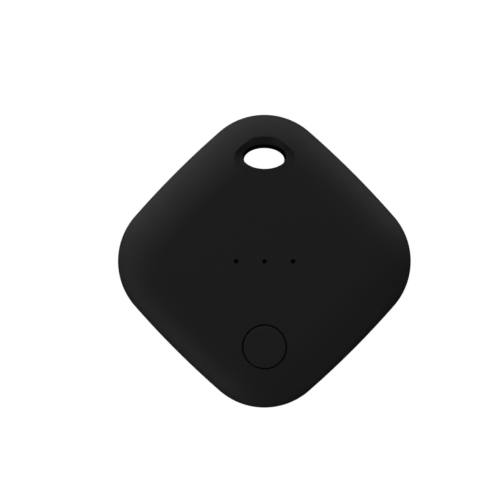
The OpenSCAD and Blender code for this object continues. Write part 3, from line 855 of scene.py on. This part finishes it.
# copper on the board: lands under every chip, rings round the screws, test points
LAND = BOARD_TOP + 0.012
bm = bmesh.new()
for x, y, w, l, h in CAPS + RES:
    a, lo, wi = (0, l, w) if l >= w else (90, w, l)
    for s in (-1, 1):
        y0, y1 = sorted((s * (lo / 2 - 0.12), s * (lo / 2 + 0.26)))
        block_into(bm, x, y, a, -wi / 2 - 0.08, wi / 2 + 0.08, y0, y1, BOARD_TOP - 0.02, LAND)
for q in range(4):
    for i in range(8):
        o = -1.75 + 0.5 * i
        block_into(bm, -7.2, 8.6, 90 * q, o - 0.12, o + 0.12, 2.2, 2.62, BOARD_TOP - 0.02, LAND)
for sx in (-1, 1):
    for sy in (-1, 1):
        block_into(bm, sx * 2.35, -BY + sy * 0.95, 0, -0.55, 0.55, -0.45, 0.45, BOARD_TOP - 0.02, LAND)
for s in (-1, 1):
    tube_into(bm, 1.75, 0.9, BOARD_TOP - 0.02, LAND, 48, s * SCREW_X, 0)
    tube_into(bm, 1.75, 0.9, BOARD_Z - 0.012, BOARD_Z + 0.02, 48, s * SCREW_X, 0)
for x, y in ((-4.4, -2.0), (-2.8, -2.0), (-1.2, -2.0), (0.4, -6.6), (2.0, -6.6), (6.2, -4.2), (6.2, -5.8), (-6.4, -5.0)):
    lathe_into(bm, [(0, BOARD_TOP - 0.02), (0.5, BOARD_TOP - 0.02), (0.5, LAND - 0.004), (0.496, LAND), (0, LAND)], 32, x, y)
for x, y in ((-8.0, 5.2), (-8.0, -5.0), (-6.6, -6.4), (7.6, 5.0), (8.9, 5.0), (5.6, -8.2), (-4.0, 9.0), (3.4, 8.4)):
    lathe_into(bm, [(0, BOARD_Z - 0.012), (0.5, BOARD_Z - 0.012), (0.5, BOARD_Z + 0.02), (0, BOARD_Z + 0.02)], 32, x, y)
for i in range(46):
    aa = 360 * i / 46
    lathe_into(bm, [(0, BOARD_TOP - 0.02), (0.16, BOARD_TOP - 0.02), (0.16, LAND - 0.004), (0, LAND - 0.004)], 14, 15.6 * cosd(aa) * (0.86 if i % 2 else 0.8), 13.4 * sind(aa) * 0.86)
piece(bm, "board_lands", M_GILT, "shell", "gilt_bronze")

# inductor winding: turns of lacquered wire round the drum core
bm = bmesh.new()
nt_, nw = 4, 48
pts = []
for i in range(nt_ * nw + 1):
    tt = i / nw
    pts.append((8.7 + 1.24 * cosd(360 * tt), -9.0 + 1.24 * sind(360 * tt), BOARD_TOP + 0.325 + 0.115 * tt))
prev = None
first = None
for i, (x, y, z) in enumerate(pts):
    ux_, uy_ = x - 8.7, y + 9.0
    nn = math.hypot(ux_, uy_)
    ux_, uy_ = ux_ / nn, uy_ / nn
    row = [bm.verts.new(((x + ux_ * 0.058 * cosd(45 * k)) * MM, (y + uy_ * 0.058 * cosd(45 * k)) * MM, (z + 0.058 * sind(45 * k)) * MM)) for k in range(8)]
    if prev:
        for k in range(8):
            bm.faces.new((prev[k], prev[(k + 1) % 8], row[(k + 1) % 8], row[k]))
    else:
        first = row
    prev = row
bm.faces.new(first[::-1])
bm.faces.new(prev)
piece(bm, "inductor_winding", M_COPPER, "shell", "ferrite", angle=60)

# snap dome: a pressed disc with a rolled foot
WELL, DOME = 6.2, 0.4
prof = []
RR = (1.3 ** 2 + DOME ** 2) / (2 * DOME)
a1 = math.degrees(math.asin(1.3 / RR))
for i in range(25):
    aa = a1 * i / 24
    prof.append((RR * sind(aa), WELL + DOME - RR + RR * cosd(aa)))
for i in range(24, -1, -1):
    aa = a1 * 0.97 * i / 24
    prof.append(((RR - 0.06) * sind(aa), max(WELL + DOME - RR + (RR - 0.06) * cosd(aa), WELL)))
bm = bmesh.new()
lathe_into(bm, prof, 64, 0, -BY)
dome = piece(bm, "snap_dome", M_TIN, "shell", "tinned_steel", "switch_dome", angle=50)
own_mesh(dome)

# coin cell: rolled can with its plus sign pressed into the flat side, cap with a rounded shoulder
CZ = 1.4
r = CELL_R
prof = [(0, 0)]
prof += [(r - 0.3 + 0.3 * sind(a_), 0.3 - 0.3 * cosd(a_)) for a_ in range(0, 91, 10)]
prof += [(r, 2.7)]
prof += [(r - 0.28 + 0.28 * cosd(a_), 2.7 + 0.28 * sind(a_)) for a_ in range(10, 91, 16)]
prof += [(r - 0.7, 3.05), (r - 0.7, 2.85), (r - 0.35, 2.8), (r - 0.3, 2.7), (r - 0.3, 0.35), (r - 0.4, 0.25), (0, 0.25)]
bm = bmesh.new()
lathe_into(bm, [(p_[0], CZ + p_[1]) for p_ in prof], 160, 0, -CELL_Y)
bmesh.ops.recalc_face_normals(bm, faces=bm.faces)
can = new_obj("coin_cell_can", bm)
bm = bmesh.new()
box_into(bm, -1.7, 1.7, -CELL_Y - 0.28, -CELL_Y + 0.28, CZ - 0.5, CZ + 0.06)
bmesh.ops.recalc_face_normals(bm, faces=bm.faces)
boolean(can, new_obj("p1", bm), "DIFFERENCE")
bm = bmesh.new()
box_into(bm, -0.28, 0.28, -CELL_Y - 1.7, -CELL_Y + 1.7, CZ - 0.5, CZ + 0.06)
bmesh.ops.recalc_face_normals(bm, faces=bm.faces)
boolean(can, new_obj("p2", bm), "DIFFERENCE")
finish_mesh(can, 30)
can.data.materials.append(M_CELL)
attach(can, "battery")
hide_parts("battery_can")
rc = CELL_R - 1.02
prof = [(0, CELL_T), (rc - 0.62, CELL_T)]
prof += [(rc - 0.62 + 0.3 * sind(a_), CELL_T - 0.3 + 0.3 * cosd(a_)) for a_ in range(15, 76, 15)]
prof += [(rc - 0.2, 2.86), (rc - 0.1, 2.75), (rc, 2.6), (rc, 0.6), (rc - 0.25, 0.6), (rc - 0.25, 2.6), (rc - 0.5, 2.95), (0, 2.95)]
bm = bmesh.new()
lathe_into(bm, [(p_[0], CZ + p_[1]) for p_ in prof], 128, 0, -CELL_Y)
piece(bm, "coin_cell_cap", M_CAP, "battery", "cell_steel", "battery_cap", angle=30)

# foam pad: die-cut disc whose rim bulges a little under load
prof = [(0, FLOOR)]
prof += [(4.9, FLOOR), (4.96, FLOOR + 0.04), (5.0, FLOOR + 0.1), (5.0, FLOOR + 0.17), (4.97, FLOOR + 0.23), (4.9, FLOOR + 0.265), (4.6, FLOOR + 0.28)]
prof += [(4.6 - 0.46 * i, FLOOR + 0.28 - 0.006 * math.sin(math.pi * i / 2)) for i in range(1, 10)] + [(0, FLOOR + 0.28)]
bm = bmesh.new()
lathe_into(bm, prof, 96, 0, -CELL_Y)
pad = piece(bm, "cell_foam_cushion", M_FOAM, "cover", "foam_tape", "cell_foam_pad", angle=50)

# ---------------------------------------------------------------- camera
cam = bpy.data.cameras.new("camera")
cam_ob = bpy.data.objects.new("camera", cam)
coll.objects.link(cam_ob)
scene.camera = cam_ob
PX = 0.15611 * MM
DIST = 0.245
cam.sensor_width = 36.0
cam.lens = 36.0 * DIST / (500 * PX)
cam_ob.location = (-14.35 * PX, 11.2 * PX, SEAM * MM + DIST)
cam.clip_start, cam.clip_end = 0.01, 20

# ---------------------------------------------------------------- stage: white sweep and lights
bm = bmesh.new()
R = 1.6
n = 96
rows = [[bm.verts.new((r * math.cos(2 * math.pi * i / n), r * math.sin(2 * math.pi * i / n), z)) for i in range(n)]
        for r, z in [(0.3, -0.0001), (1.0, -0.0001)] + [(1.0 + 0.6 * math.sin(a * math.pi / 16), 0.6 - 0.6 * math.cos(a * math.pi / 16)) for a in range(1, 9)] + [(1.6, 2.2)]]
c = bm.verts.new((0, 0, -0.0001))
for i in range(n):
    bm.faces.new((c, rows[0][i], rows[0][(i + 1) % n]))
for a, b in zip(rows, rows[1:]):
    for i in range(n):
        j = (i + 1) % n
        bm.faces.new((a[i], a[j], b[j], b[i]))
bm.faces.new(rows[-1])
bmesh.ops.recalc_face_normals(bm, faces=bm.faces)
for f in bm.faces:
    f.smooth = True
floor = new_obj("floor", bm)
m = bpy.data.materials.new("floor_white")
m.use_nodes = True
nt = m.node_tree
nt.nodes.clear()
o = nt.nodes.new("ShaderNodeOutputMaterial")
e = nt.nodes.new("ShaderNodeEmission")
e.inputs["Color"].default_value = (1, 1, 1, 1)
e.inputs["Strength"].default_value = 1.0
clear = nt.nodes.new("ShaderNodeBsdfTransparent")
side = nt.nodes.new("ShaderNodeNewGeometry")
mx = nt.nodes.new("ShaderNodeMixShader")
# white from inside the sweep, clear from outside, so that the rear can be looked at from below
nt.links.new(side.outputs["Backfacing"], mx.inputs[0])
nt.links.new(clear.outputs[0], mx.inputs[1])
nt.links.new(e.outputs[0], mx.inputs[2])
nt.links.new(mx.outputs[0], o.inputs[0])
floor.data.materials.append(m)
floor.visible_glossy = False
floor.visible_diffuse = False
floor.visible_shadow = False

world = bpy.data.worlds.new("studio")
scene.world = world
world.use_nodes = True
world.node_tree.nodes["Background"].inputs[0].default_value = (1, 1, 1, 1)
world.node_tree.nodes["Background"].inputs[1].default_value = 0.0
scene.view_settings.view_transform = "Standard"
scene.view_settings.look = "None"

# soft round sources all at one distance: name, azimuth (deg, 0 = +X, 90 = +Y), elevation, strength (W)
LIGHTS = [
    ("edge_up_right", 45, -15, 0.302),
    ("edge_top", 90, -15, 0.397),
    ("edge_up_left", 135, -15, 0.697),
    ("key_up_right", 45, 10, 0.617),
    ("left_soft", 180, 10, 0.390),
    ("fill_low_left", 225, 10, 0.621),
    ("fill_low_right", 315, 10, 0.298),
    ("top_soft", 90, 35, 0.618),
    ("key_up_left", 135, 35, 0.750),
    ("overhead_soft", 315, 60, 0.214),
    ("edge_bottom", 270, -15, 0.052),
    ("fill_bottom", 270, 10, 0.076),
]
for name, az, el, watts in LIGHTS:
    L = bpy.data.lights.new(name, "AREA")
    L.shape = "DISK"
    L.size = 0.42
    L.energy = watts * 1.01
    ob = bpy.data.objects.new(name, L)
    coll.objects.link(ob)
    d = Vector((cosd(az) * cosd(el), sind(az) * cosd(el), sind(el)))
    ob.location = d * 0.6 + Vector((0, 0, SEAM * MM))
    ob.rotation_mode = "QUATERNION"
    ob.rotation_quaternion = d.to_track_quat("Z", "Y")
